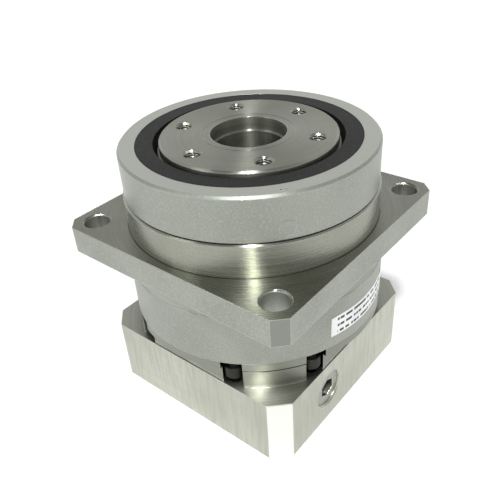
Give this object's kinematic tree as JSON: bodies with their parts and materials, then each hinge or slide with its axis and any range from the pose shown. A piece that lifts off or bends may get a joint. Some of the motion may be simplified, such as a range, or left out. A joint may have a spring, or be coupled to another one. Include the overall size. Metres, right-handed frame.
{
  "type": "planetary gearbox",
  "caption": "Planetary servo gearbox with a rotating output flange, a square mounting flange with a round pilot and a square motor adapter with a shaft clamp.",
  "frame": {"origin": "centre of the motor-side face of the adapter block, on the output axis", "axes": "+Z along the output axis, from the motor side towards the output flange; X and Y square to the flange sides"},
  "size_m": [0.115, 0.115, 0.1198],
  "materials": {
    "adapter_aluminium": "milled and turned",
    "casing_grey": "matt silver grey",
    "housing_steel": "matt sides, turned and polished faces",
    "ground_steel": "fine ground",
    "gear_steel": "ground tooth flanks",
    "bearing_steel": "polished",
    "dark_steel": "blackened",
    "plug_steel": "zinc plated",
    "bronze": "satin",
    "black_rubber": "matt",
    "label_film": "satin film"
  },
  "bodies": {
    "casing": {"adapter_block": "adapter_aluminium", "casing_screws": "dark_steel", "access_plug": "plug_steel", "mounting_flange": "housing_steel", "pilot_ring": "housing_steel", "cover_ring": "casing_grey", "side_plug": "casing_grey", "cover_o_ring": "black_rubber", "output_seal": "black_rubber", "name_label": "label_film", "ring_gear": "casing_grey", "front_outer_race": "bearing_steel", "rear_outer_race": "bearing_steel", "input_outer_race": "bearing_steel", "input_seal": "black_rubber", "bore_circlip": "dark_steel"},
    "output": {"output_flange": "ground_steel", "bore_cap": "plug_steel", "planet_carrier": "gear_steel", "carrier_cheek": "gear_steel", "hub_screws": "dark_steel", "cheek_screws": "dark_steel", "planet_pins": "bearing_steel", "thrust_washers": "bronze", "front_inner_race": "bearing_steel", "front_balls": "bearing_steel", "front_cage": "bronze", "rear_inner_race": "bearing_steel", "rear_balls": "bearing_steel", "rear_cage": "bronze", "race_spacer": "gear_steel"},
    "input": {"sun_shaft": "gear_steel", "input_inner_race": "bearing_steel", "input_balls": "bearing_steel", "shaft_circlip": "dark_steel", "clamp_collar": "dark_steel", "clamp_screw": "dark_steel"},
    "planet_set_a": {"planet_a": "gear_steel", "needles_a": "bearing_steel"},
    "planet_set_b": {"planet_b": "gear_steel", "needles_b": "bearing_steel"},
    "planet_set_c": {"planet_c": "gear_steel", "needles_c": "bearing_steel"}
  },
  "joints": [
    {"name": "output_spin", "type": "hinge", "parent": "casing", "child": "output", "pos_m": [0, 0, 0.1198], "axis": [0, 0, 1], "continuous": true},
    {"name": "input_spin", "type": "hinge", "parent": "casing", "child": "input", "pos_m": [0, 0, 0.02], "axis": [0, 0, 1], "continuous": true},
    {"name": "planet_spin_a", "type": "hinge", "parent": "output", "child": "planet_set_a", "pos_m": [0.02643, 0.00962, 0.0572], "axis": [0, 0, 1], "continuous": true},
    {"name": "planet_spin_b", "type": "hinge", "parent": "output", "child": "planet_set_b", "pos_m": [-0.02155, 0.01808, 0.0572], "axis": [0, 0, 1], "continuous": true},
    {"name": "planet_spin_c", "type": "hinge", "parent": "output", "child": "planet_set_c", "pos_m": [-0.00488, -0.0277, 0.0572], "axis": [0, 0, 1], "continuous": true}
  ],
  "couplings": [
    {"joint": "input_spin", "follows": "output_spin", "ratio": 5},
    {"joint": "planet_spin_a", "follows": "output_spin", "ratio": -2.6667},
    {"joint": "planet_spin_b", "follows": "output_spin", "ratio": -2.6667},
    {"joint": "planet_spin_c", "follows": "output_spin", "ratio": -2.6667}
  ]
}
